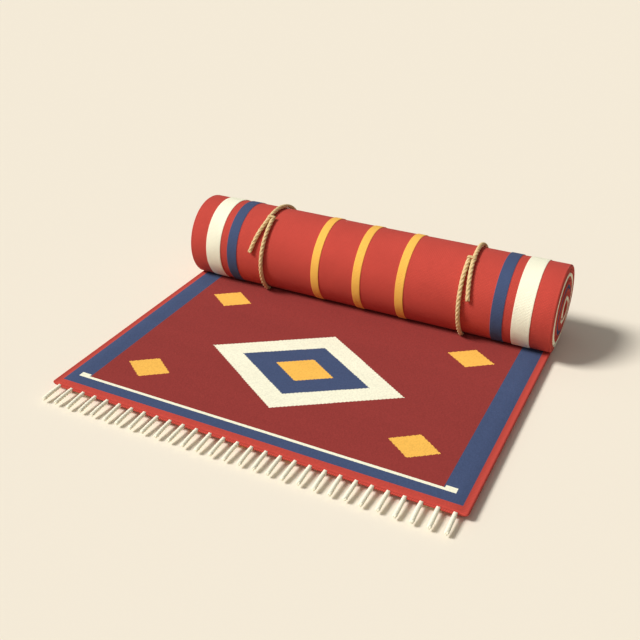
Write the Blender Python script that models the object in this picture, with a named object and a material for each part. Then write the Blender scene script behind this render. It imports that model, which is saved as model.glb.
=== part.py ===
"""A fringed carpet, half rolled up and held by two cord ties.

The flat strip lies on the floor and runs on into the roll: its underside becomes
the outside of the outer turn, which goes round in a circle until it comes down on
the strip again. X runs along the roll, +Y from the fringe towards the roll, +Z up.
The origin is on the floor, in the middle of carpet and fringe. Angles round the
roll start on the floor under its axis and grow up its back.
"""
import math

import bmesh
import bpy

# Carpet, in metres
CARPET_WIDTH = 0.800
CARPET_THICKNESS = 0.016
STRIP_LENGTH = 0.558        # front edge to the roll's axis, the part that lies flat
ROLL_RADIUS = 0.0884
EDGE_RADIUS = 0.005         # rounding of the front edge
EDGE_STEPS = 3
TURN_STEPS = 66             # facets round the outer turn

# Fringe: one comb of strands along the front edge
STRAND_COUNT = 29
STRAND_SPAN = 0.761         # first strand to last, middle to middle
STRAND_WIDTH = 0.0065
STRAND_HEIGHT = 0.006
STRAND_LENGTH = 0.045       # from the carpet's edge to the tips
HEADER_DEPTH = 0.004        # the band that the strands hang from
HEADER_MARGIN = 0.006       # the band ends this far past the outer strands
ROOT_HEIGHT = 0.012         # middle of the strands at the carpet's edge
TIP_SAG = 0.003             # the strands stand nearly straight out and sag this much at their tips
SAG_STEPS = 4
PIECE_GAP = 0.0003          # between pieces that touch

# Ties: each a cord round the roll, its loose end lying down the front
CORD_DIAMETER = 0.0088
TIE_OFFSET = 0.2224         # from the carpet's middle to each tie
CORD_STEP = 0.0165          # spacing of the points along a cord
TUNNEL_CLEARANCE = 0.0006   # round the cord where it passes through the carpet
TUNNEL_REACH = 0.085        # the tunnel's points lie this near the axis, fore and aft
WHIPPING_ANGLE = math.radians(204)
WHIPPING_LENGTH = 0.012
WHIPPING_HALF_WIDTH = 0.0102
WHIPPING_HALF_DEPTH = 0.0059
WHIPPING_RADIUS = 0.0946    # its middle, from the roll's axis
WHIPPING_SHIFT = 0.0003     # its middle, past the tie's offset
TIE_TAILS = {"tie_left": (-1, 0.021), "tie_right": (1, 0.010)}   # side, tail's reach

# A tie's route: degrees round the roll, millimetres from the roll's axis, millimetres
# sideways from the tie's offset, and the share of the tail's reach. It starts in the
# whipping, runs down the front, through the carpet's thickness under the roll, up the
# back and over the top, passes through the whipping beside its own start and ends as
# the tail.
TIE_ROUTE = [
    # angle, radius, sideways, share
    (201.5, 94.6, -4.3, 0.0),
    (215, 94.2, -4.3, 0.0),
    (235, 93.9, -4.0, 0.0),
    (270, 93.9, -2.0, 0.0),
    (300, 93.9, -0.5, 0.0),
    (312, 93.9, 0.0, 0.0),
    (319, 93.4, 0.0, 0.0),
    (326, 91.8, 0.0, 0.0),
    (333, 89.1, 0.0, 0.0),
    (340, 85.6, 0.0, 0.0),
    (349, 81.9, 0.0, 0.0),
    (360, 80.4, 0.0, 0.0),
    (370, 82.0, 0.0, 0.0),
    (378, 85.8, 0.0, 0.0),
    (384, 89.3, 0.0, 0.0),
    (390, 91.7, 0.0, 0.0),
    (398, 93.4, 0.0, 0.0),
    (410, 93.9, 0.0, 0.0),
    (450, 93.9, 0.0, 0.0),
    (495, 93.9, 0.0, 0.0),
    (520, 94.0, 0.5, 0.0),
    (545, 94.4, 3.2, 0.0),
    (564, 94.6, 4.9, 0.0),
    (575, 94.4, 4.9, 0.15),
    (585, 94.0, 4.9, 0.35),
    (598, 93.9, 4.9, 0.62),
    (616, 93.9, 4.9, 1.0),
]

COLOURS = {
    "carpet": ("#9C2B25", 0.95),
    "fringe": ("#F3EBCF", 0.90),
    "tie_left": ("#C29A5B", 0.85),
    "tie_right": ("#C29A5B", 0.85),
}


FRONT_Y = STRAND_LENGTH - (STRAND_LENGTH + STRIP_LENGTH + ROLL_RADIUS) / 2
AXIS_Y = FRONT_Y + STRIP_LENGTH
AXIS_Z = ROLL_RADIUS


def round_the_roll(angle, radius):
    """Place (y, z) at an angle and a radius round the roll's axis."""
    return AXIS_Y + radius * math.sin(angle), AXIS_Z - radius * math.cos(angle)


def linear(channel):
    """One sRGB channel, 0 to 1, as linear light."""
    if channel <= 0.04045:
        return channel / 12.92
    return ((channel + 0.055) / 1.055) ** 2.4


def make_material(name):
    """A plain cloth material in the part's colour."""
    code, roughness = COLOURS[name]
    rgb = [linear(int(code[i:i + 2], 16) / 255) for i in (1, 3, 5)]
    material = bpy.data.materials.new(name + "_cloth")
    material.use_nodes = True
    shader = material.node_tree.nodes["Principled BSDF"]
    shader.inputs["Base Color"].default_value = (*rgb, 1.0)
    shader.inputs["Roughness"].default_value = roughness
    material.diffuse_color = (*rgb, 1.0)
    return material


def clear_scene():
    for old in list(bpy.data.objects):
        bpy.data.objects.remove(old, do_unlink=True)


def make_collection(name):
    collection = bpy.data.collections.new(name)
    bpy.context.scene.collection.children.link(collection)
    return collection


def flat_curve(name, points, thickness, collection):
    """A closed outline in the curve's own XY plane, filled and extruded."""
    curve = bpy.data.curves.new(name, "CURVE")
    curve.dimensions = "2D"
    curve.fill_mode = "BOTH"
    curve.extrude = thickness / 2
    spline = curve.splines.new("POLY")
    spline.points.add(len(points) - 1)
    for point, (x, y) in zip(spline.points, points):
        point.co = (x, y, 0.0, 1.0)
    spline.use_cyclic_u = True
    outline = bpy.data.objects.new(name, curve)
    collection.objects.link(outline)
    return outline


def cord_curve(name, points, radius, collection):
    """A round cord through the given points, with closed ends."""
    curve = bpy.data.curves.new(name, "CURVE")
    curve.dimensions = "3D"
    curve.bevel_depth = radius
    curve.bevel_resolution = 3
    curve.use_fill_caps = True
    spline = curve.splines.new("POLY")
    spline.points.add(len(points) - 1)
    for point, place in zip(spline.points, points):
        point.co = (*place, 1.0)
    cord = bpy.data.objects.new(name, curve)
    collection.objects.link(cord)
    return cord


def curve_to_mesh(source, collection):
    """Replace a curve object by a mesh object with welded caps."""
    bpy.context.view_layer.update()
    evaluated = source.evaluated_get(bpy.context.evaluated_depsgraph_get())
    mesh = bpy.data.meshes.new_from_object(evaluated)
    work = bmesh.new()
    work.from_mesh(mesh)
    bmesh.ops.remove_doubles(work, verts=work.verts, dist=0.00001)
    work.to_mesh(mesh)
    work.free()
    name = source.name
    matrix = source.matrix_world.copy()
    bpy.data.objects.remove(source, do_unlink=True)
    solid = bpy.data.objects.new(name, mesh)
    solid.matrix_world = matrix
    collection.objects.link(solid)
    return solid


def use_as_cutter(cutter):
    cutter.hide_render = True
    cutter.display_type = "WIRE"


def add_boolean(target, tool, operation):
    modifier = target.modifiers.new(operation.lower(), "BOOLEAN")
    modifier.operation = operation
    modifier.solver = "EXACT"
    modifier.object = tool


def finish(piece, name, smooth_angle=40):
    """Name the piece, give it its material and shade its round faces smooth."""
    piece.name = name
    piece.data.materials.clear()
    piece.data.materials.append(make_material(name))
    piece.data.shade_smooth()
    piece.data.set_sharp_from_angle(angle=math.radians(smooth_angle))


def carpet_outline():
    """Side view of the carpet: the strip and its roll, as one closed line (y, z)."""
    points = []
    for corner_z, start in ((EDGE_RADIUS, 180), (CARPET_THICKNESS - EDGE_RADIUS, 90)):
        corner = []
        for step in range(EDGE_STEPS + 1):
            angle = math.radians(start + 90 * step / EDGE_STEPS)
            corner.append((FRONT_Y + EDGE_RADIUS + EDGE_RADIUS * math.cos(angle),
                           corner_z + EDGE_RADIUS * math.sin(angle)))
        points.append(corner)
    bottom_corner, top_corner = points
    last_angle = 2 * math.pi - math.acos(1 - CARPET_THICKNESS / ROLL_RADIUS)
    turn = []
    for step in range(TURN_STEPS + 1):
        turn.append(round_the_roll(last_angle * step / TURN_STEPS, ROLL_RADIUS))
    return bottom_corner + turn + top_corner


def smooth_rows(rows, fine_steps=40):
    """Rows of numbers read closely from one smooth curve through the given rows."""
    rows = [rows[0]] + list(rows) + [rows[-1]]
    for before, start, end, after in zip(rows, rows[1:], rows[2:], rows[3:]):
        for step in range(fine_steps):
            t = step / fine_steps
            yield [
                0.5 * (2 * b + (c - a) * t + (2 * a - 5 * b + 4 * c - d) * t ** 2
                       + (3 * b - a - 3 * c + d) * t ** 3)
                for a, b, c, d in zip(before, start, end, after)]
    yield list(rows[-1])


def even_points(points, spacing):
    """The same line with its points a set distance apart."""
    gone = [0.0]
    for first, second in zip(points, points[1:]):
        gone.append(gone[-1] + math.dist(first, second))
    count = round(gone[-1] / spacing)
    even = []
    index = 0
    for number in range(count + 1):
        wanted = gone[-1] * number / count
        while index < len(gone) - 2 and gone[index + 1] < wanted:
            index += 1
        share = (wanted - gone[index]) / (gone[index + 1] - gone[index])
        even.append([p + share * (q - p) for p, q in zip(points[index], points[index + 1])])
    return even


def tie_points(side, tail_reach):
    """The tie's centre line."""
    line = []
    for degrees, radius, sideways, share in smooth_rows(TIE_ROUTE):
        y, z = round_the_roll(math.radians(degrees), radius / 1000)
        line.append((side * (TIE_OFFSET + sideways / 1000 + share * tail_reach), y, z))
    return even_points(line, CORD_STEP)


def build_carpet(parts, cutters):
    outline = flat_curve("carpet_outline", carpet_outline(), CARPET_WIDTH, parts)
    outline.rotation_euler = (math.pi / 2, 0.0, math.pi / 2)
    carpet = curve_to_mesh(outline, parts)
    for name, (side, tail_reach) in TIE_TAILS.items():
        middle = [point for point in tie_points(side, tail_reach)
                  if abs(point[1] - AXIS_Y) < TUNNEL_REACH and point[2] < AXIS_Z]
        bore = CORD_DIAMETER / 2 + TUNNEL_CLEARANCE
        tunnel = curve_to_mesh(cord_curve(name + "_tunnel", middle, bore, cutters), cutters)
        use_as_cutter(tunnel)
        add_boolean(carpet, tunnel, "DIFFERENCE")
    finish(carpet, "carpet", 30)


def sag(distance):
    """How far the strands have sunk at a distance from the carpet's edge."""
    return TIP_SAG * (distance / STRAND_LENGTH) ** 2


def build_fringe(parts):
    """A comb: a narrow header with the strands in front of it."""
    pitch = STRAND_SPAN / (STRAND_COUNT - 1)
    back = FRONT_Y - PIECE_GAP
    root = back - HEADER_DEPTH
    tip = FRONT_Y - STRAND_LENGTH
    end = STRAND_SPAN / 2 + STRAND_WIDTH / 2 + HEADER_MARGIN
    points = [(end, back), (-end, back), (-end, root)]
    for number in range(STRAND_COUNT):
        middle = -STRAND_SPAN / 2 + number * pitch
        left = middle - STRAND_WIDTH / 2
        right = middle + STRAND_WIDTH / 2
        points += [(left, root), (left, tip), (right, tip), (right, root)]
    points.append((end, root))
    outline = flat_curve("fringe_outline", points, STRAND_HEIGHT, parts)
    outline.location.z = ROOT_HEIGHT
    fringe = curve_to_mesh(outline, parts)
    work = bmesh.new()
    work.from_mesh(fringe.data)
    for step in range(1, SAG_STEPS):
        cut_y = root + (tip - root) * step / SAG_STEPS
        everything = work.verts[:] + work.edges[:] + work.faces[:]
        bmesh.ops.bisect_plane(work, geom=everything, plane_co=(0, cut_y, 0), plane_no=(0, 1, 0))
    for vertex in work.verts:
        vertex.co.z -= sag(FRONT_Y - vertex.co.y)
    work.to_mesh(fringe.data)
    work.free()
    finish(fringe, "fringe")


def build_tie(name, parts, cutters):
    """A cord round the roll, with the whipping that holds its ends together."""
    side, tail_reach = TIE_TAILS[name]
    cord = cord_curve(name, tie_points(side, tail_reach), CORD_DIAMETER / 2, parts)
    tie = curve_to_mesh(cord, parts)
    y, z = round_the_roll(WHIPPING_ANGLE, WHIPPING_RADIUS)
    bpy.ops.mesh.primitive_cylinder_add(
        vertices=20, radius=1.0, depth=WHIPPING_LENGTH,
        location=(side * (TIE_OFFSET + WHIPPING_SHIFT), y, z),
        rotation=(WHIPPING_ANGLE - math.pi / 2, 0.0, 0.0),
        scale=(WHIPPING_HALF_WIDTH, WHIPPING_HALF_DEPTH, 1.0))
    whipping = bpy.context.object
    whipping.name = name + "_whipping"
    for owner in list(whipping.users_collection):
        owner.objects.unlink(whipping)
    cutters.objects.link(whipping)
    use_as_cutter(whipping)
    add_boolean(tie, whipping, "UNION")
    finish(tie, name)


def main():
    clear_scene()
    parts = make_collection("rolled_carpet")
    cutters = make_collection("cutters")
    build_carpet(parts, cutters)
    build_fringe(parts)
    for name in TIE_TAILS:
        build_tie(name, parts, cutters)


main()
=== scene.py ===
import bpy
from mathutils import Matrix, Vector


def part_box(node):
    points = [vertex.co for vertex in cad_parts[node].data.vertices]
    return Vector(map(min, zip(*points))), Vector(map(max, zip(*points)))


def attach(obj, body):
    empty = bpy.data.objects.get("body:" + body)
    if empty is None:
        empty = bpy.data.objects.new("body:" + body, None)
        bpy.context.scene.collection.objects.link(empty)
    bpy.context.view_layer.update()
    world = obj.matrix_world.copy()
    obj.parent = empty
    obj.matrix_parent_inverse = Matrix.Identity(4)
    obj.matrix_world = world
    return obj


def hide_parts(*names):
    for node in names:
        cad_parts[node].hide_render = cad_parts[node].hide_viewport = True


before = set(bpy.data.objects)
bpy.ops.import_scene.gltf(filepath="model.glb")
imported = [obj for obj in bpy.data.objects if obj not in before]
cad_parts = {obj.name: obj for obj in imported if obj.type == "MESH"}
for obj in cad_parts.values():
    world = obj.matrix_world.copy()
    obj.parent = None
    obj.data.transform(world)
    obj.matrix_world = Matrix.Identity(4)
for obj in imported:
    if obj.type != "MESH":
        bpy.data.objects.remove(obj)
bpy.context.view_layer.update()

import math
import random

import bmesh
import bpy
from mathutils import Vector, noise

tau = 2 * math.pi
mm = 0.001

carpetLow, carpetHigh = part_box("carpet")
carpetWidth = carpetHigh.x - carpetLow.x
frontEdge = carpetLow.y

# The carpet as one long cloth: a flat strip that runs on into the roll. Each turn of the roll is
# a circle that comes down flat on the turn below, so the cloth steps inwards at the bottom.
carpet = {
    "thickness": 16 * mm,
    "stripLength": 558 * mm,         # front edge to the roll's axis
    "rollRadius": 88.4 * mm,
    "turnPitches": (16 * mm, 15 * mm, 15 * mm, 15 * mm, 15 * mm),   # how far each turn steps inwards
    "turnSteps": (100, 80, 64, 48, 32),
    "turnCorners": (5 * mm, 5 * mm, 6 * mm, 8.5 * mm, 10 * mm),   # softness where a turn flattens
    "flatReach": 0.45 * math.pi,     # a turn starts to flatten at most this far before its end
    "lastAngle": 290,                # degrees of the innermost turn
    "stripStep": 12.5 * mm,
    "noseRadius": 5 * mm,            # rounding of the front edge
    "cordWidth": 3 * mm,             # how far the two bound cords of a side edge reach inwards
    "cordStandOut": 0.5 * mm,
    "marginWidth": 13.5 * mm,        # overcast margin on the pile side
    "columnGap": 20 * mm,
    "bandHeight": 1.3 * mm,          # the bands stand proud of the woven back
    "pressed": (0.4 * mm, 1.0 * mm),   # thickness lost in the first turn, and again in the later ones
    "softness": 0.6 * mm,            # unevenness of the roll
    "stripSoftness": 0.4 * mm,       # unevenness of the strip
    "loft": 0.8 * mm,                # the pile springs out where the roll's weight is off it
    "drift": 1.2 * mm,               # each turn stands out this much past the one round it
    "waver": 0.3 * mm,               # and wanders this much to and fro
    "spread": 2.6 * mm,              # the roll is this much wider at each end than the strip
    "tuck": 11 * mm,                 # the strip's edges draw in this much towards the floor
    "tuckReach": 30 * mm,
}
rollAxis = Vector((0, frontEdge + carpet["stripLength"], carpet["rollRadius"]))

# Bands along the woven side, mirrored about the middle, in mm across the carpet
backBands = [
    {"middle": 341, "width": 35.6, "colour": "cream"},
    {"middle": 294, "width": 24, "colour": "navy"},
    {"middle": 94, "width": 17.6, "colour": "gold"},
    {"middle": 0, "width": 17.6, "colour": "gold"},
]

colours = {
    "field": "#963934",
    "red": "#C64A3E",
    "navy": "#465475",
    "cream": "#FEFADD",
    "gold": "#FFC257",
    "cotton": "#FFFBE4",
    "cottonShade": "#F7EED2",
    "juteLight": "#F2D9A4",
    "juteDark": "#CDA467",
    "floor": "#F2E8D5",
}


def linearColour(code):
    channels = [int(code[i:i + 2], 16) / 255 for i in (1, 3, 5)]
    return [c / 12.92 if c <= 0.04045 else ((c + 0.055) / 1.055) ** 2.4 for c in channels] + [1.0]


def addNode(tree, kind, settings=None, links=None):
    # settings are the node's own properties or its inputs' values
    node = tree.nodes.new("ShaderNode" + kind)
    for key, value in (settings or {}).items():
        if isinstance(key, str) and hasattr(node, key):
            setattr(node, key, value)
        else:
            node.inputs[key].default_value = value
    for key, source in (links or {}).items():
        tree.links.new(source, node.inputs[key])
    return node


def smoothStep(low, high, value):
    share = min(max((value - low) / (high - low), 0.0), 1.0)
    return share * share * (3 - 2 * share)


def softMinimum(first, second, softness):
    near = max(1 - abs(first - second) / softness, 0.0)
    return min(first, second) - softness / 4 * near ** 2


def outerRadius(angle):
    # distance of the woven side from the roll's axis, at an angle that grows turn after turn
    pitches = carpet["turnPitches"]
    rounding = 1e-9      # so that a whole turn counts as the start of the next
    turn = min(int(angle / tau + rounding), len(pitches) - 1)
    radius = carpet["rollRadius"] - sum(pitches[:turn])
    left = tau * (turn + 1) - angle
    if left < carpet["flatReach"]:
        flat = (radius - pitches[turn]) / math.cos(left)
        radius = softMinimum(radius, flat, carpet["turnCorners"][turn])
    return radius


def roundTheRoll(angle, radius, x=0.0):
    return Vector((x, rollAxis.y + radius * math.sin(angle), rollAxis.z - radius * math.cos(angle)))


# Ties: cords round the roll. The route starts in the whipping, runs down the front, through
# the carpet's thickness under the roll, up its back and over the top, passes through the
# whipping beside its own start, and ends as the tail.
ties = {
    "diameter": 8.8 * mm,
    "offset": 222.4 * mm,
    "lay": 30 * mm,               # length of one twist of the strands
    "pointStep": 2.2 * mm,
    "strandSides": 8,
    "route": [
        # degrees from the floor, mm from the roll's axis, mm sideways, share of the tail's reach
        (201.5, 94.6, -4.3, 0.0),
        (215, 94.2, -4.3, 0.0),
        (235, 93.9, -4.0, 0.0),
        (270, 93.9, -2.0, 0.0),
        (300, 93.9, -0.5, 0.0),
        (312, 93.9, 0.0, 0.0),
        (319, 93.4, 0.0, 0.0),
        (326, 91.8, 0.0, 0.0),
        (333, 89.1, 0.0, 0.0),
        (340, 85.6, 0.0, 0.0),
        (349, 81.9, 0.0, 0.0),
        (360, 80.4, 0.0, 0.0),
        (370, 82.0, 0.0, 0.0),
        (378, 85.8, 0.0, 0.0),
        (384, 89.3, 0.0, 0.0),
        (390, 91.7, 0.0, 0.0),
        (398, 93.4, 0.0, 0.0),
        (410, 93.9, 0.0, 0.0),
        (450, 93.9, 0.0, 0.0),
        (495, 93.9, 0.0, 0.0),
        (520, 94.0, 0.5, 0.0),
        (545, 94.4, 3.2, 0.0),
        (564, 94.6, 4.9, 0.0),
        (575, 94.4, 4.9, 0.15),
        (585, 94.0, 4.9, 0.35),
        (598, 93.9, 4.9, 0.62),
        (616, 93.9, 4.9, 1.0),
    ],
    "tails": {"left": (-1, 21 * mm), "right": (1, 10 * mm)},   # side, tail's sideways reach
}


def smoothRows(rows, fineSteps=40):
    rows = [rows[0]] + list(rows) + [rows[-1]]
    for before, start, end, after in zip(rows, rows[1:], rows[2:], rows[3:]):
        for step in range(fineSteps):
            t = step / fineSteps
            yield [
                0.5 * (2 * b + (c - a) * t + (2 * a - 5 * b + 4 * c - d) * t ** 2
                       + (3 * b - a - 3 * c + d) * t ** 3)
                for a, b, c, d in zip(before, start, end, after)]
    yield list(rows[-1])


def runningLengths(points):
    gone = [0.0]
    for first, second in zip(points, points[1:]):
        gone.append(gone[-1] + (second - first).length)
    return gone


def lineLength(points):
    return runningLengths(points)[-1]


def evenPoints(points, spacing):
    gone = runningLengths(points)
    count = max(round(gone[-1] / spacing), 1)
    even = []
    index = 0
    for number in range(count + 1):
        wanted = gone[-1] * number / count
        while index < len(gone) - 2 and gone[index + 1] < wanted:
            index += 1
        share = (wanted - gone[index]) / (gone[index + 1] - gone[index])
        even.append(points[index].lerp(points[index + 1], share))
    return even


def tieLine(side, reach):
    points = []
    for degrees, radius, sideways, share in smoothRows(ties["route"]):
        x = side * (ties["offset"] + sideways * mm + share * reach)
        points.append(roundTheRoll(math.radians(degrees), radius * mm, x))
    return evenPoints(points, ties["pointStep"])


def makeCamera():
    view = {
        # in carpet widths from the middle of the front edge, on top
        "across": 0.7972,
        "behind": 1.2150,
        "above": 1.1233,
        "turn": 26.505,        # degrees about Z
        "tilt": 60.034,        # degrees up from looking straight down
        "lens": 48.86,
    }
    data = bpy.data.cameras.new("camera")
    data.lens = view["lens"]
    data.sensor_width = 36
    camera = bpy.data.objects.new("camera", data)
    camera.location = (
        view["across"] * carpetWidth,
        frontEdge - view["behind"] * carpetWidth,
        carpet["thickness"] + view["above"] * carpetWidth)
    camera.rotation_euler = (math.radians(view["tilt"]), 0, math.radians(view["turn"]))
    bpy.context.collection.objects.link(camera)
    bpy.context.scene.camera = camera


def sweepRings(sides, rows, placeAt):
    # a closed tube of rings: one circle, extruded row after row, then each vertex put in its place
    work = bmesh.new()
    column = work.verts.layers.int.new("column")
    row = work.verts.layers.int.new("row")
    ring = bmesh.ops.create_circle(work, cap_ends=True, segments=sides, radius=1.0)["verts"]
    for index, vertex in enumerate(ring):
        vertex[column] = index
    edges = work.edges[:]
    for number in range(1, rows):
        grown = bmesh.ops.extrude_edge_only(work, edges=edges)["geom"]
        edges = []
        for item in grown:
            if isinstance(item, bmesh.types.BMVert):
                item[row] = number
            elif isinstance(item, bmesh.types.BMEdge) and item.is_boundary:
                edges.append(item)
    bmesh.ops.contextual_create(work, geom=edges)
    for vertex in work.verts:
        vertex.co = placeAt(vertex[row], vertex[column])
    bmesh.ops.recalc_face_normals(work, faces=work.faces)
    return work


def wrappedColumns(face, column, sides):
    # a face that closes the ring counts its first column as the one past the last
    columns = [loop.vert[column] for loop in face.loops]
    if len(columns) == 4 and 0 in columns and sides - 1 in columns:
        return [sides if c == 0 else c for c in columns]
    return columns


def lineFrames(points):
    # directions across the line that never spin about it
    frames = []
    tangent = (points[1] - points[0]).normalized()
    across = tangent.orthogonal().normalized()
    for index in range(len(points)):
        last = points[max(index - 1, 0)]
        following = points[min(index + 1, len(points) - 1)]
        tangent = (following - last).normalized()
        across = (across - tangent * across.dot(tangent)).normalized()
        frames.append((tangent, across, tangent.cross(across)))
    return frames


def sweepTube(points, radiusAt, sides):
    # a round tube along the line, its radius set by the length gone and the whole length
    frames = lineFrames(points)
    gone = runningLengths(points)

    def placeAt(row, column):
        tangent, across, up = frames[row]
        angle = tau * column / sides
        radius = radiusAt(gone[row], gone[-1])
        return points[row] + radius * (math.cos(angle) * across + math.sin(angle) * up)

    work = sweepRings(sides, len(points), placeAt)
    uv = work.loops.layers.uv.new("along")
    column = work.verts.layers.int["column"]
    row = work.verts.layers.int["row"]
    girth = tau * radiusAt(gone[-1] / 2, gone[-1])
    for face in work.faces:
        for loop, c in zip(face.loops, wrappedColumns(face, column, sides)):
            loop[uv].uv = (girth * c / sides, gone[loop.vert[row]])
    return work


def makePiece(name, works, materials, sharpAngle=60):
    # joins the given bmeshes into one object at the origin
    joined = bmesh.new()
    for work in works:
        part = bpy.data.meshes.new("part")
        work.to_mesh(part)
        work.free()
        joined.from_mesh(part)
        bpy.data.meshes.remove(part)
    mesh = bpy.data.meshes.new(name)
    joined.to_mesh(mesh)
    joined.free()
    for material in materials:
        mesh.materials.append(material)
    mesh.shade_smooth()
    mesh.set_sharp_from_angle(angle=math.radians(sharpAngle))
    piece = bpy.data.objects.new(name, mesh)
    bpy.context.collection.objects.link(piece)
    return piece


def ropeStrands(points, settings):
    # three round strands laid round the line, drawn thin at its start and a little loose at its cut end
    startWidth = 0.4
    cutWidth = 0.6
    cutRounding = 0.8 * mm
    frames = lineFrames(points)
    gone = runningLengths(points)
    strandRadius = settings["fullness"] * settings["diameter"] / 2
    reach = settings["diameter"] / 2 - strandRadius

    def atStart(along):
        return startWidth + (1 - startWidth) * along / settings["taper"]

    def radiusAt(along, length):
        atEnd = cutWidth + (1 - cutWidth) * (length - along) / cutRounding
        return strandRadius * min(1.0, atStart(along), atEnd)

    works = []
    for strand in range(3):
        line = []
        for point, along, (tangent, across, up) in zip(points, gone, frames):
            angle = tau * (along / settings["lay"] + strand / 3)
            nearEnd = max(0.0, 1 - (gone[-1] - along) / settings["flareLength"])
            opened = 1 + settings["flare"] * nearEnd ** 1.5
            opened *= min(1.0, atStart(along))
            line.append(point + reach * opened * (math.cos(angle) * across + math.sin(angle) * up))
        works.append(sweepTube(line, radiusAt, settings["strandSides"]))
    return works


def newMaterial(name):
    material = bpy.data.materials.new(name)
    material.use_nodes = True
    return material, material.node_tree


def finishFibre(tree, colour, bump, settings):
    # spun fibre is matt, with hardly any gloss and a faint sheen
    shader = tree.nodes["Principled BSDF"]
    tree.links.new(colour, shader.inputs["Base Color"])
    tree.links.new(bump, shader.inputs["Normal"])
    shader.inputs["Roughness"].default_value = settings["roughness"]
    shader.inputs["Specular IOR Level"].default_value = settings["specular"]
    shader.inputs["Sheen Weight"].default_value = settings["sheen"]


def yarnMaterial(name, light, dark, settings):
    # spun yarn: matt fibres that run along the strand, a little lighter where they catch the light
    material, tree = newMaterial(name)
    uv = addNode(tree, "UVMap", {"uv_map": "along"})
    slant = addNode(tree, "Mapping", {"Rotation": (0, 0, math.radians(settings["slant"]))},
                    {"Vector": uv.outputs["UV"]})
    stretch = addNode(tree, "VectorMath", {
        "operation": "MULTIPLY",
        1: (1 / settings["fibreWidth"], 1 / settings["fibreLength"], 1)}, {0: slant.outputs[0]})
    fibres = addNode(tree, "TexNoise", {"Scale": 1.0, "Detail": 3.0, "Roughness": 0.6},
                     {"Vector": stretch.outputs[0]})
    tint = addNode(tree, "ValToRGB", {}, {"Fac": fibres.outputs["Fac"]})
    tint.color_ramp.elements[0].position = 0.32
    tint.color_ramp.elements[0].color = linearColour(dark)
    tint.color_ramp.elements[1].position = 0.6
    tint.color_ramp.elements[1].color = linearColour(light)
    bump = addNode(tree, "Bump", {"Strength": settings["bump"], "Distance": settings["fibreWidth"]},
                   {"Height": fibres.outputs[0]})
    finishFibre(tree, tint.outputs["Color"], bump.outputs["Normal"], settings)
    return material


whipping = {
    "angle": math.radians(203),
    "radius": 94.6 * mm,
    "shift": 0.3 * mm,
    "twine": 0.9 * mm,
    "turns": 6,
    "pitch": 0.95 * mm,
    "cordGap": 4.6 * mm,          # half the distance between the two cords' middles
    "bite": 0.2 * mm,             # how far the twine sinks into the cords
    "stepsATurn": 28,
    "sides": 6,
}


def whippingLine(side):
    # an oval helix round the two cords, which lie side by side
    angle = whipping["angle"]
    centre = roundTheRoll(angle, whipping["radius"], side * (ties["offset"] + whipping["shift"]))
    along = Vector((0, math.cos(angle), math.sin(angle)))
    outward = Vector((0, math.sin(angle), -math.cos(angle)))
    reach = ties["diameter"] / 2 + whipping["twine"] / 2 - whipping["bite"]
    line = []
    for step in range(whipping["turns"] * whipping["stepsATurn"] + 1):
        turns = step / whipping["stepsATurn"]
        across = math.cos(tau * turns)
        sideways = reach * across + whipping["cordGap"] * max(-1.0, min(1.0, 2.5 * across))
        advance = (turns - whipping["turns"] / 2) * whipping["pitch"]
        line.append(centre + along * advance + outward * (reach * math.sin(tau * turns))
                    + Vector((sideways, 0, 0)))
    return line


def makeTies():
    rope = {
        "diameter": 1.03 * ties["diameter"],
        "taper": 8 * mm,              # the end under the whipping is drawn thin
        "lay": ties["lay"],
        "strandSides": ties["strandSides"],
        "fullness": 0.58,
        "flare": 0.35,
        "flareLength": 9 * mm,
    }
    # jute: stiff pale brown fibres that stay visible as fine streaks along each strand
    jute = yarnMaterial("three strand jute", colours["juteLight"], colours["juteDark"], {
        "slant": 18, "fibreWidth": 0.7 * mm, "fibreLength": 9 * mm, "bump": 0.4,
        "roughness": 0.85, "specular": 0.15, "sheen": 0.05})
    for name, (side, reach) in ties["tails"].items():
        line = tieLine(side, reach)
        cord = makePiece("tie_cord_" + name, ropeStrands(line, rope), [jute])
        twine = sweepTube(whippingLine(side), lambda along, length: whipping["twine"] / 2, whipping["sides"])
        wound = makePiece("whipping_" + name, [twine], [jute])
        for piece in (cord, wound):
            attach(piece, "root")
        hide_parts("tie_" + name)
        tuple(line[0])
        round(lineLength(line), 3)
    print("ties made")


def sideWall():
    # the right edge from the woven side to the pile side, round its two bound cords:
    # rows of (x, depth from the woven side, kind)
    half = carpetWidth / 2
    thick = carpet["thickness"]
    wide = carpet["cordWidth"]
    middle = half - wide + carpet["cordStandOut"]
    cords = (
        # degrees where the cord's arc starts and ends, depth of its middle
        (-110, 66, thick / 4, "outerCord"),
        (-66, 110, 3 * thick / 4, "innerCord"),
    )
    arcSteps = 10
    wall = [(half - 2 * wide, 0.2 * mm, "edge")]
    for start, end, depth, kind in cords:
        for step in range(arcSteps + 1):
            angle = math.radians(start + (end - start) * step / arcSteps)
            wall.append((middle + wide * math.cos(angle), depth + thick / 4 * math.sin(angle),
                         kind if step < arcSteps else "edge"))
    # the margin lies a little lower than the pile beside it
    wall.append((half - 2 * wide - 0.8 * mm, thick - 0.7 * mm, "edge"))
    wall.append((half - carpet["marginWidth"] + 1.2 * mm, thick - 0.5 * mm, "edge"))
    return wall


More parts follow.
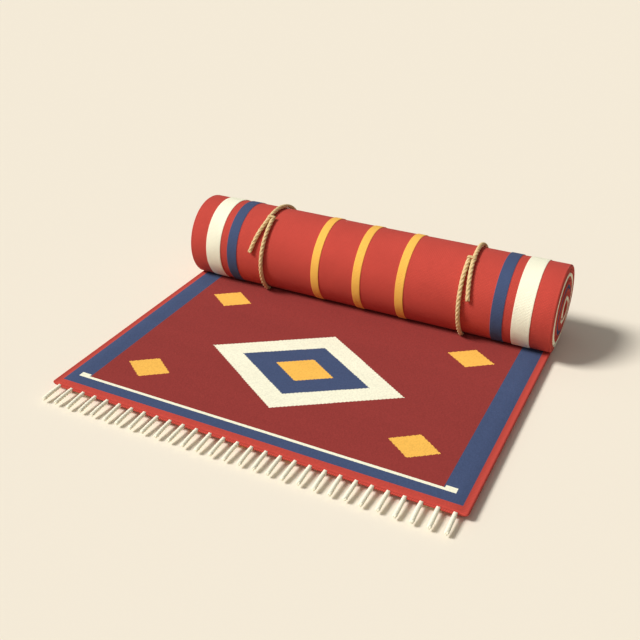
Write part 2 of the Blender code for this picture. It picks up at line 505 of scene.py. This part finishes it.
def carpetSection():
    # the cloth's cross-section: a closed line of (x, depth from the woven side, share of a band, kind)
    half = carpetWidth / 2
    rim = 2 * carpet["cordWidth"]
    slope = 0.4 * mm
    support = 1.2 * mm      # columns this far past a slope keep it crisp under smooth shading
    marks = {-(half - rim): 0, half - rim: 0, -(half - rim - support): 0, half - rim - support: 0}
    for band in backBands:
        for side in (-1, 1):
            middle = side * band["middle"] * mm
            reach = band["width"] * mm / 2
            for edge, inward in ((middle - reach, 1), (middle + reach, -1)):
                for away, raised in ((-support, 0), (-slope, 0), (slope, 1), (support, 1)):
                    marks[edge + inward * away] = raised
    places = sorted(marks)
    section = []
    for first, second in zip(places, places[1:]):
        count = math.ceil((second - first) / carpet["columnGap"])
        for step in range(count):
            share = step / count
            raised = marks[first] * (1 - share) + marks[second] * share
            section.append((first + (second - first) * share, 0.0, raised, "back"))

    wall = sideWall()
    section += [(x, depth, 0.0, kind) for x, depth, kind in wall]
    inner = half - carpet["marginWidth"]
    count = math.ceil(2 * inner / carpet["columnGap"])
    for step in range(count + 1):
        kind = "face" if step < count else "edge"
        section.append((inner - 2 * inner * step / count, carpet["thickness"], 0.0, kind))
    # the left edge is the right one mirrored, so each point takes the kind of the one before it
    for index in range(len(wall) - 1, 0, -1):
        x, depth, kind = wall[index]
        section.append((-x, depth, 0.0, wall[index - 1][2]))
    return section


def clothThickness(angle):
    firstTurn, laterTurns = carpet["pressed"]
    return (carpet["thickness"] - firstTurn * smoothStep(0.3, 1.5, angle)
            - laterTurns * smoothStep(tau, 8.0, angle))


def carpetStations():
    # where each row of the cloth lies: (length along it, angle round the roll or None on the strip)
    nose = carpet["noseRadius"]
    noseSteps = 5
    stations = []
    for step in range(noseSteps + 1):
        stations.append((nose * (1 - math.cos(math.radians(90 * step / noseSteps))), None))
    flat = carpet["stripLength"] - nose
    count = math.ceil(flat / carpet["stripStep"])
    for step in range(1, count + 1):
        stations.append((nose + flat * step / count, None))
    length = carpet["stripLength"]
    for turn, steps in enumerate(carpet["turnSteps"]):
        for step in range(1, steps + 1):
            angle = tau * (turn + step / steps)
            if angle > tau * (len(carpet["turnSteps"]) - 1) + math.radians(carpet["lastAngle"]):
                break
            length += (outerRadius(angle) - clothThickness(angle) / 2) * tau / steps
            stations.append((length, angle))
    return stations


def rollSwell(x, angle):
    # soft bulges about 0.2 m long, none where the roll rests
    rest = math.sin(angle / 2) ** 2
    place = Vector((x * 5, math.cos(angle) * 1.3, math.sin(angle) * 1.3 + angle // tau))
    return (carpet["loft"] + carpet["softness"] * noise.noise(place)) * rest


def placeOnStrip(length, x, depth, back):
    # uneven in front, and even again where the roll lies on it
    uneven = carpet["stripSoftness"] * noise.noise(Vector((x * 7, length * 7, 3.0)))
    uneven *= 1 - smoothStep(0.45, 0.5, length)
    return Vector((x, frontEdge + length + back, depth * (1 + uneven / carpet["thickness"])))


def placeOnRoll(angle, x, depth, raised):
    # angles are in radians from the bottom of the roll up its back, turn after turn
    swell = rollSwell(x, angle)
    nudge = 0.01
    base = roundTheRoll(angle, outerRadius(angle) + swell)
    ahead = roundTheRoll(angle + nudge, outerRadius(angle + nudge) + swell)
    behind = roundTheRoll(angle - nudge, outerRadius(max(angle - nudge, 0)) + swell)
    along = (ahead - behind).normalized()
    inward = Vector((0, -along.z, along.y))
    # the bands flatten where the roll rests
    lift = raised * carpet["bandHeight"] * smoothStep(0.1, 0.9, angle) * (1 - smoothStep(5.5, 5.8, angle))
    drift = carpet["drift"] * max(0.0, angle / tau - 0.9) + carpet["waver"] * math.sin(1.7 * angle)
    wide = carpet["spread"] * x / (carpetWidth / 2)
    sideways = x + wide * smoothStep(0.2, 1.6, angle) + drift * smoothStep(0.5, 2.0, angle)
    place = base + inward * (depth * clothThickness(angle) / carpet["thickness"] - lift)
    return place + Vector((sideways, 0, 0))


def placeCloth(station, x, depth, raised):
    length, angle = station
    thick = carpet["thickness"]
    nose = carpet["noseRadius"]
    if length < nose:
        inset = nose * (1 - math.sqrt(max(0.0, 1 - (1 - length / nose) ** 2)))
        depth = thick / 2 + (depth - thick / 2) * (1 - inset / (thick / 2))
        x *= 1 - inset / (carpetWidth / 2)
    # the edges draw in most at the woven side, and not at all just under the pile
    tuck = carpet["tuck"] * max(0.0, 1 - depth / (0.88 * thick)) ** 1.5
    if angle:
        tuck *= 1 - smoothStep(0.05, 0.5, angle)
    x -= math.copysign(tuck, x) * smoothStep(carpetWidth / 2 - carpet["tuckReach"], carpetWidth / 2, abs(x))
    if angle is None:
        back = tuck * (1 - smoothStep(0, carpet["tuckReach"], length))
        return placeOnStrip(length, x, depth, back)
    return placeOnRoll(angle, x, depth, raised)


def layerColours(tree, ground, layers):
    # colours laid over the ground one after another: each layer is a socket that is 1 where it lies,
    # and its colour
    below = None
    for inside, code in layers:
        links = {0: inside}
        if below:
            links[6] = below
        mixed = addNode(tree, "Mix", {
            "data_type": "RGBA", 6: linearColour(ground), 7: linearColour(code)}, links)
        below = mixed.outputs[2]
    return below


def backLayers(tree, across):
    # the bands of the woven side, by the distance from the carpet's middle
    for band in backBands:
        away = addNode(tree, "Math", {"operation": "SUBTRACT", 1: band["middle"] * mm}, {0: across})
        away = addNode(tree, "Math", {"operation": "ABSOLUTE"}, {0: away.outputs[0]})
        inside = addNode(tree, "Math", {"operation": "LESS_THAN", 1: band["width"] * mm / 2},
                         {0: away.outputs[0]})
        yield inside.outputs[0], colours[band["colour"]]


def wovenMaterial():
    # weft-faced wool back: rows of small beads where the weft passes over the warp
    weave = {
        "beadLength": 5.0,            # mm, as are the next two, coarse enough to show
        "rowHeight": 2.6,
        "gap": 0.9,
        "depth": 0.7 * mm,
        "fray": 0.4 * mm,             # how far a band's edge wanders
        "frayScale": 350.0,           # waves a metre, so about 3 mm each
        "wearScale": 14.0,
        "roughness": 0.88,
        "specular": 0.1,
        "sheen": 0.04,
    }
    material, tree = newMaterial("woven wool back")
    uv = addNode(tree, "UVMap", {"uv_map": "along"})
    ragged = addNode(tree, "TexNoise", {"Scale": weave["frayScale"], "Detail": 1.0},
                     {"Vector": uv.outputs["UV"]})
    shift = addNode(tree, "MapRange", {"To Min": -weave["fray"], "To Max": weave["fray"]},
                    {"Value": ragged.outputs[0]})
    split = addNode(tree, "SeparateXYZ", {}, {"Vector": uv.outputs["UV"]})
    across = addNode(tree, "Math", {"operation": "ABSOLUTE"}, {0: split.outputs["X"]})
    across = addNode(tree, "Math", {"operation": "ADD"}, {0: across.outputs[0], 1: shift.outputs[0]})
    colour = layerColours(tree, colours["red"], backLayers(tree, across.outputs[0]))
    inMm = addNode(tree, "VectorMath", {"operation": "SCALE", "Scale": 1000.0}, {0: uv.outputs["UV"]})
    # the gaps between the beads are painted darker, as shade in the dips of the weave
    beads = addNode(tree, "TexBrick", {
        "Color1": (1.2, 1.2, 1.2, 1), "Color2": (1.09, 1.09, 1.09, 1), "Mortar": (0.86, 0.86, 0.86, 1),
        "Scale": 1.0, "Mortar Size": weave["gap"], "Mortar Smooth": 1.0,
        "Brick Width": weave["beadLength"], "Row Height": weave["rowHeight"]}, {"Vector": inMm.outputs[0]})
    worn = addNode(tree, "TexNoise", {"Scale": weave["wearScale"], "Detail": 3.0},
                   {"Vector": uv.outputs["UV"]})
    tone = addNode(tree, "MapRange", {"From Min": 0.3, "From Max": 0.7, "To Min": 0.96, "To Max": 1.05},
                   {"Value": worn.outputs[0]})
    shaded = addNode(tree, "Mix", {"data_type": "RGBA", "blend_type": "MULTIPLY", 0: 0.8},
                     {6: colour, 7: beads.outputs["Color"]})
    toned = addNode(tree, "Mix", {"data_type": "RGBA", "blend_type": "MULTIPLY", 0: 1.0},
                    {6: shaded.outputs[2], 7: tone.outputs[0]})
    raisedBead = addNode(tree, "Math", {"operation": "SUBTRACT", 0: 1.0}, {1: beads.outputs["Fac"]})
    bump = addNode(tree, "Bump", {"Strength": 0.6, "Distance": weave["depth"]},
                   {"Height": raisedBead.outputs[0]})
    finishFibre(tree, toned.outputs[2], bump.outputs["Normal"], weave)
    return material


# The pile side's design in mm: across from the middle, and along from the front edge
faceDesign = [
    {"shape": "diamond", "mirror": True, "middle": (267.8, 119.0), "half": (46.6, 34.2), "colour": "gold"},
    {"shape": "diamond", "mirror": True, "middle": (267.8, 420.0), "half": (46.6, 34.2), "colour": "gold"},
    {"shape": "diamond", "mirror": False, "middle": (0, 241.0), "half": (201.1, 135.2), "colour": "cream"},
    {"shape": "diamond", "mirror": False, "middle": (0, 241.0), "half": (133.7, 87.6), "colour": "navy"},
    {"shape": "diamond", "mirror": False, "middle": (0, 241.0), "half": (60.2, 40.6), "colour": "gold"},
    {"shape": "box", "mirror": True, "middle": (373.3, 1500.0), "half": (26.7, 1500.0), "colour": "navy"},
    {"shape": "box", "mirror": False, "middle": (0, 20.0), "half": (400.0, 20.6), "colour": "navy"},
    {"shape": "box", "mirror": False, "middle": (0, 41.2), "half": (358.0, 3.0), "colour": "cream"},
    {"shape": "box", "mirror": True, "middle": (357.8, 44.6), "half": (9.8, 6.0), "colour": "cream"},
    {"shape": "box", "mirror": False, "middle": (0, 6.0), "half": (400.0, 10.1), "colour": "red"},
]


def pileMaterial():
    # short dense cut pile: each knot has its own tone, and colour edges step by knots
    pile = {
        "knot": 2.0 * mm,
        "tuft": 3.2 * mm,             # coarser than the knots, to show
        "lean": 0.25 * mm,
        "leanScale": 420.0,           # waves a metre
        "fibreScale": 1100.0,
        "depth": 1.0 * mm,
        "roughness": 0.95,
        "specular": 0.1,
        "sheen": 0.04,
    }
    material, tree = newMaterial("cut wool pile")
    uv = addNode(tree, "UVMap", {"uv_map": "along"})
    ragged = addNode(tree, "TexNoise", {"Scale": pile["leanScale"], "Detail": 1.0},
                     {"Vector": uv.outputs["UV"]})
    lean = addNode(tree, "VectorMath", {"operation": "SUBTRACT", 1: (0.5, 0.5, 0.5)},
                   {0: ragged.outputs["Color"]})
    lean = addNode(tree, "VectorMath", {"operation": "SCALE", "Scale": 2 * pile["lean"]},
                   {0: lean.outputs[0]})
    leaned = addNode(tree, "VectorMath", {"operation": "ADD"}, {0: uv.outputs["UV"], 1: lean.outputs[0]})
    knots = addNode(tree, "VectorMath", {"operation": "SNAP", 1: (pile["knot"], pile["knot"], 1)},
                    {0: leaned.outputs[0]})
    centred = addNode(tree, "VectorMath", {"operation": "ADD", 1: (pile["knot"] / 2, pile["knot"] / 2, 0)},
                      {0: knots.outputs[0]})
    flat = addNode(tree, "VectorMath", {"operation": "MULTIPLY", 1: (1, 1, 0)}, {0: centred.outputs[0]})
    mirrored = addNode(tree, "VectorMath", {"operation": "ABSOLUTE"}, {0: flat.outputs[0]})
    layers = []
    for item in faceDesign:
        middle = (item["middle"][0] * mm, item["middle"][1] * mm, 0)
        half = (item["half"][0] * mm, item["half"][1] * mm, 1)
        start = mirrored if item["mirror"] else flat
        away = addNode(tree, "VectorMath", {"operation": "SUBTRACT", 1: middle}, {0: start.outputs[0]})
        away = addNode(tree, "VectorMath", {"operation": "ABSOLUTE"}, {0: away.outputs[0]})
        away = addNode(tree, "VectorMath", {"operation": "DIVIDE", 1: half}, {0: away.outputs[0]})
        parts = addNode(tree, "SeparateXYZ", {}, {"Vector": away.outputs[0]})
        reach = addNode(tree, "Math", {"operation": "ADD" if item["shape"] == "diamond" else "MAXIMUM"},
                        {0: parts.outputs["X"], 1: parts.outputs["Y"]})
        inside = addNode(tree, "Math", {"operation": "LESS_THAN", 1: 1.0}, {0: reach.outputs[0]})
        layers.append((inside.outputs[0], colours[item["colour"]]))
    colour = layerColours(tree, colours["field"], layers)

    knotTone = addNode(tree, "TexWhiteNoise", {"noise_dimensions": "2D"}, {"Vector": flat.outputs[0]})
    knotTone = addNode(tree, "MapRange", {"To Min": 0.96, "To Max": 1.04},
                       {"Value": knotTone.outputs["Value"]})
    # the dye varies in streaks across the carpet
    streaks = addNode(tree, "VectorMath", {"operation": "MULTIPLY", 1: (2.0, 16.0, 0)},
                      {0: uv.outputs["UV"]})
    dye = addNode(tree, "TexNoise", {"Scale": 1.0, "Detail": 4.0}, {"Vector": streaks.outputs[0]})
    dye = addNode(tree, "MapRange", {"From Min": 0.3, "From Max": 0.7, "To Min": 0.96, "To Max": 1.04},
                  {"Value": dye.outputs[0]})
    tone = addNode(tree, "Math", {"operation": "MULTIPLY"}, {0: knotTone.outputs[0], 1: dye.outputs[0]})
    tufts = addNode(tree, "TexVoronoi", {"Scale": 1 / pile["tuft"]}, {"Vector": uv.outputs["UV"]})
    fibres = addNode(tree, "TexNoise", {"Scale": pile["fibreScale"], "Detail": 3.0},
                     {"Vector": uv.outputs["UV"]})
    # painted shade: each tuft is drawn darker towards its rim, where the tufts meet
    tuftGapShade = addNode(tree, "MapRange", {"From Min": 0.1, "From Max": 0.75, "To Min": 1.05, "To Max": 0.93},
                     {"Value": tufts.outputs["Distance"]})
    tone = addNode(tree, "Math", {"operation": "MULTIPLY"}, {0: tone.outputs[0], 1: tuftGapShade.outputs[0]})
    toned = addNode(tree, "Mix", {"data_type": "RGBA", "blend_type": "MULTIPLY", 0: 1.0},
                    {6: colour, 7: tone.outputs[0]})
    height = addNode(tree, "Math", {"operation": "MULTIPLY_ADD", 1: -0.7}, {
        0: tufts.outputs["Distance"], 2: fibres.outputs[0]})
    bump = addNode(tree, "Bump", {"Strength": 0.35, "Distance": pile["depth"]},
                   {"Height": height.outputs[0]})
    finishFibre(tree, toned.outputs[2], bump.outputs["Normal"], pile)
    return material


def overcastMaterial(name, code, pitch, slant):
    # wool yarn wrapped over an edge: ribs side by side, at a slant on the bound cords
    overcast = {
        "wobble": 0.9 * mm,
        "wobbleScale": 160.0,         # waves a metre
        "fibreScale": 700.0,
        "depth": 0.9 * mm,
        "roughness": 0.9,
        "specular": 0.1,
        "sheen": 0.04,
    }
    material, tree = newMaterial(name)
    uv = addNode(tree, "UVMap", {"uv_map": "along"})
    split = addNode(tree, "SeparateXYZ", {}, {"Vector": uv.outputs["UV"]})
    wobble = addNode(tree, "TexNoise", {"Scale": overcast["wobbleScale"], "Detail": 2.0},
                     {"Vector": uv.outputs["UV"]})
    along = addNode(tree, "Math", {"operation": "MULTIPLY_ADD", 1: slant},
                    {0: split.outputs["X"], 2: split.outputs["Y"]})
    along = addNode(tree, "Math", {"operation": "MULTIPLY_ADD", 1: overcast["wobble"]},
                    {0: wobble.outputs[0], 2: along.outputs[0]})
    phase = addNode(tree, "Math", {"operation": "MULTIPLY", 1: math.pi / pitch}, {0: along.outputs[0]})
    wave = addNode(tree, "Math", {"operation": "SINE"}, {0: phase.outputs[0]})
    rib = addNode(tree, "Math", {"operation": "ABSOLUTE"}, {0: wave.outputs[0]})
    # painted shade: the grooves between the ribs are drawn darker
    shade = addNode(tree, "MapRange", {"From Max": 0.6, "To Min": 0.78, "To Max": 1.05},
                    {"Value": rib.outputs[0]})
    fibres = addNode(tree, "TexNoise", {"Scale": overcast["fibreScale"], "Detail": 3.0},
                     {"Vector": uv.outputs["UV"]})
    hair = addNode(tree, "MapRange", {"From Min": 0.25, "From Max": 0.75, "To Min": 0.94, "To Max": 1.06},
                   {"Value": fibres.outputs[0]})
    tone = addNode(tree, "Math", {"operation": "MULTIPLY"}, {0: shade.outputs[0], 1: hair.outputs[0]})
    toned = addNode(tree, "Mix", {
        "data_type": "RGBA", "blend_type": "MULTIPLY", 0: 1.0, 6: linearColour(code)},
        {7: tone.outputs[0]})
    height = addNode(tree, "Math", {"operation": "MULTIPLY_ADD", 1: 0.2},
                     {0: fibres.outputs[0], 2: rib.outputs[0]})
    bump = addNode(tree, "Bump", {"Strength": 0.7, "Distance": overcast["depth"]},
                   {"Height": height.outputs[0]})
    finishFibre(tree, toned.outputs[2], bump.outputs["Normal"], overcast)
    return material


# Places in the carpet's list of materials, by the kind of surface
materialSlots = {
    "face": 0,
    "back": 1,
    "edge": 2,
    "outerCord": 3,
    "innerCord": 3,
    "creamCord": 4,
    "navyCord": 5,
}

# The side edges are bound in other yarns where these rings show at the roll's ends
edgeRings = [
    # mm from the roll's axis
    {"from": 64.5, "to": 75, "kind": "creamCord"},
    {"from": 42, "to": 51, "kind": "navyCord"},
    {"from": 19.5, "to": 27.5, "kind": "creamCord"},
]


def cordColour(kind, angle):
    # the binding yarn of a side cord, by how far from the roll's axis its middle lies
    deep = 0.25 if kind == "outerCord" else 0.75
    radius = (outerRadius(angle) - deep * clothThickness(angle)) / mm
    for ring in edgeRings:
        if ring["from"] < radius < ring["to"]:
            return ring["kind"]
    return kind


def makeCarpet():
    section = carpetSection()
    stations = carpetStations()
    sides = len(section)

    def placeAt(row, column):
        x, depth, raised, kind = section[column]
        return placeCloth(stations[row], x, depth, raised)

    work = sweepRings(sides, len(stations), placeAt)
    edgePitch = 3.4 * mm
    cordPitch = 3.0 * mm
    cordSlant = 0.8
    materials = [
        pileMaterial(),
        wovenMaterial(),
        overcastMaterial("red overcast edge", colours["red"], edgePitch, 0.0),
        overcastMaterial("red edge cord", colours["red"], cordPitch, cordSlant),
        overcastMaterial("cream edge cord", colours["cream"], cordPitch, cordSlant),
        overcastMaterial("navy edge cord", colours["navy"], cordPitch, cordSlant),
    ]
    uv = work.loops.layers.uv.new("along")
    column = work.verts.layers.int["column"]
    row = work.verts.layers.int["row"]
    around = [0.0]
    for first, second in zip(section, section[1:] + section[:1]):
        around.append(around[-1] + math.hypot(second[0] - first[0], second[1] - first[1]))
    for face in work.faces:
        columns = wrappedColumns(face, column, sides)
        kind = section[min(columns)][3]
        finish = kind
        if len(columns) != 4:
            kind = finish = "edge"
        elif kind in ("outerCord", "innerCord"):
            finish = cordColour(kind, max(stations[loop.vert[row]][1] or 0 for loop in face.loops))
        face.material_index = materialSlots[finish]
        for loop, c in zip(face.loops, columns):
            u = section[c % sides][0] if kind in ("face", "back") else around[c]
            loop[uv].uv = (u, stations[loop.vert[row]][0])
    total = stations[-1][0]
    cloth = makePiece("carpet_cloth", [work], materials)
    print("carpet made,", round(total, 3), "m long")
    return cloth, total


def makeFringe():
    fringe = {
        "count": 29,
        "span": 761 * mm,
        "length": 45 * mm,
        "rootHeight": 12 * mm,
        "rootDepth": 1 * mm,          # how far the strands start inside the front edge
        "tipSag": 3 * mm,
        "steps": 30,
        "diameter": 8.2 * mm,
        "lay": 18 * mm,
        "strandSides": 7,
        "fullness": 0.6,
        "taper": 1 * mm,
        "flare": 0.15,
        "flareLength": 5 * mm,
        "unevenLength": (-1.0, 0.8),  # mm
        "unevenLean": (-0.03, 0.03),
        "unevenBow": (-0.4, 0.4),     # mm
        "headerRadius": 2.3 * mm,
        "headerPast": 7 * mm,         # how far the header runs on past the outer strands
        "headerOut": 0.8 * mm,
        "headerTaper": 6 * mm,
        "headerPitch": 3.4 * mm,      # from one wrap of its yarn to the next
        "headerSlant": 0.3,
        "headerSteps": 160,
        "headerSides": 10,
    }
    # cotton: soft off-white yarn, its twist shown by faint shade between the strands
    cotton = yarnMaterial("twisted cotton fringe", colours["cotton"], colours["cottonShade"], {
        "slant": 14, "fibreWidth": 0.8 * mm, "fibreLength": 8 * mm, "bump": 0.3,
        "roughness": 0.9, "specular": 0.15, "sheen": 0.05})
    dice = random.Random(4)
    works = []
    for number in range(fringe["count"]):
        x = -fringe["span"] / 2 + fringe["span"] * number / (fringe["count"] - 1)
        length = fringe["length"] + dice.uniform(*fringe["unevenLength"]) * mm
        lean = dice.uniform(*fringe["unevenLean"])
        bow = dice.uniform(*fringe["unevenBow"]) * mm
        points = []
        for step in range(fringe["steps"] + 1):
            share = step / fringe["steps"]
            out = -fringe["rootDepth"] + (length + fringe["rootDepth"]) * share
            height = fringe["rootHeight"] - fringe["tipSag"] * (out / fringe["length"]) ** 2
            points.append(Vector((x + lean * out + bow * math.sin(math.pi * share),
                                  frontEdge - out, height)))
        works += ropeStrands(points, fringe)
    strands = makePiece("fringe_strands", works, [cotton])

    end = fringe["span"] / 2 + fringe["headerPast"]
    headerLine = []
    for step in range(fringe["headerSteps"] + 1):
        x = -end + 2 * end * step / fringe["headerSteps"]
        headerLine.append(Vector((x, frontEdge - fringe["headerOut"], fringe["rootHeight"])))

    def headerRadius(along, length):
        nearest = min(along, length - along)
        return fringe["headerRadius"] * smoothStep(-2 * mm, fringe["headerTaper"], nearest)

    edging = overcastMaterial("overcast front edge", colours["red"], fringe["headerPitch"],
                              fringe["headerSlant"])
    tube = sweepTube(headerLine, headerRadius, fringe["headerSides"])
    header = makePiece("fringe_header", [tube], [edging])
    print("fringe made")
    return strands, header


def makeStage():
    floorMesh = bpy.data.meshes.new("floor")
    work = bmesh.new()
    bmesh.ops.create_grid(work, x_segments=1, y_segments=1, size=12)
    work.to_mesh(floorMesh)
    work.free()
    floor = bpy.data.objects.new("floor", floorMesh)
    floor.location.z = -0.2 * mm      # a little lower than the carpet's underside
    bpy.context.collection.objects.link(floor)
    # painted floor: an even matt cream without gloss
    paint, tree = newMaterial("plain painted floor")
    shader = tree.nodes["Principled BSDF"]
    shader.inputs["Base Color"].default_value = linearColour(colours["floor"])
    shader.inputs["Roughness"].default_value = 0.95
    shader.inputs["Specular IOR Level"].default_value = 0.0
    floorMesh.materials.append(paint)


def makeLight():
    # a soft key from the front left, a very wide fill round it and an even sky
    lamps = {
        "key": {"strength": 3.2, "from": (-0.8, -0.5, 1.0), "softness": 18},
        "fill": {"strength": 0.5, "from": (-0.3, -0.5, 1.0), "softness": 110},
    }
    skyStrength = 0.145
    for name, lamp in lamps.items():
        data = bpy.data.lights.new(name, "SUN")
        data.energy = lamp["strength"]
        data.angle = math.radians(lamp["softness"])
        light = bpy.data.objects.new(name, data)
        light.rotation_euler = Vector(lamp["from"]).to_track_quat("Z", "Y").to_euler()
        bpy.context.collection.objects.link(light)
    world = bpy.data.worlds.new("studio")
    world.use_nodes = True
    background = world.node_tree.nodes["Background"]
    background.inputs["Color"].default_value = (1, 1, 1, 1)
    background.inputs["Strength"].default_value = skyStrength
    bpy.context.scene.world = world
    bpy.context.scene.view_settings.view_transform = "Standard"
    print("floor and lights made")


makeCamera()
makeTies()
cloth, clothLength = makeCarpet()
strands, header = makeFringe()
for piece, slotName in ((cloth, "carpet"), (strands, "fringe"), (header, "carpet")):
    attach(piece, "root")
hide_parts("carpet")
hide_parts("fringe")
makeStage()
makeLight()
